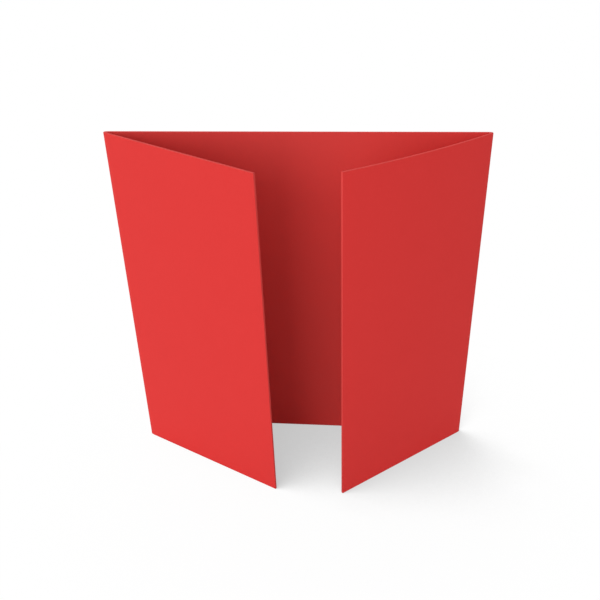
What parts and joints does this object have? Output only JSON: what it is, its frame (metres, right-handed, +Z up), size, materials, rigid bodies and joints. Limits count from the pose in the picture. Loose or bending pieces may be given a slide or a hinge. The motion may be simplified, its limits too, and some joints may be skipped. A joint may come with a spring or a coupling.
{
  "type": "gate-fold card",
  "caption": "Square gate-fold card of heavy dyed board: its leaves turn on creased folds and shut over the back panel like gates; it stands part way open on its foot.",
  "frame": {"origin": "on the table, at the middle of the standing card's outline", "axes": "+X from the left fold to the right fold, +Y from the open front to the back panel, +Z up along the folds"},
  "size_m": [0.148, 0.0492, 0.148],
  "materials": {
    "red_board": "uncoated board dyed red right through, fine even grain, faintly paler at the cut edges"
  },
  "bodies": {
    "back": {"back_panel": "red_board", "left_crease": "red_board", "right_crease": "red_board"},
    "left_gate": {"left_leaf": "red_board"},
    "right_gate": {"right_leaf": "red_board"}
  },
  "joints": [
    {"name": "left_fold", "type": "hinge", "parent": "back", "child": "left_gate", "pos_m": [-0.07305, 0.01703, 0], "axis": [0, 0, 1], "range_deg": [-145.7, 34.3], "stiffness_Nm_per_rad": 0.004},
    {"name": "right_fold", "type": "hinge", "parent": "back", "child": "right_gate", "pos_m": [0.07305, 0.01703, 0], "axis": [0, 0, 1], "range_deg": [-34, 146], "stiffness_Nm_per_rad": 0.004}
  ]
}
